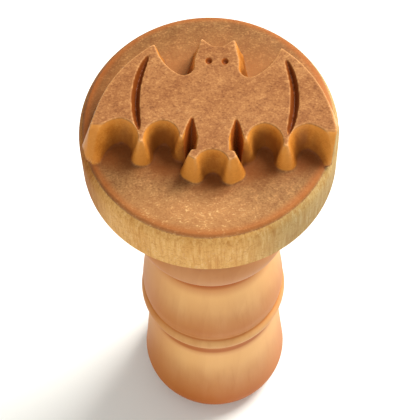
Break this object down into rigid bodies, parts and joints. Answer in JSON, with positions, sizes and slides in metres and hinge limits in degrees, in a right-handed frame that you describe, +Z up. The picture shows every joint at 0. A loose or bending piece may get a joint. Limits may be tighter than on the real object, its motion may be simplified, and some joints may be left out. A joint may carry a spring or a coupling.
{
  "type": "clay stamp",
  "caption": "Turned wooden clay stamp with a waisted round handle and a disc head carved with a raised bat figure.",
  "frame": {"origin": "centre of the handle's flat foot, on the turning axis, where the stamp stands", "axes": "+Z up the turning axis from the handle's foot to the carved face, +Y towards the top of the carved bat, +X to the bat's side that is on the right when its head is up"},
  "size_m": [0.0254, 0.0254, 0.0582],
  "materials": {
    "head_wood": "bare end grain, lightly oiled",
    "handle_wood": "sanded, thin satin finish",
    "dowel_wood": "bare"
  },
  "bodies": {
    "root": {"stamp_head": "head_wood", "handle": "handle_wood", "dowel_pin": "dowel_wood"}
  },
  "joints": []
}
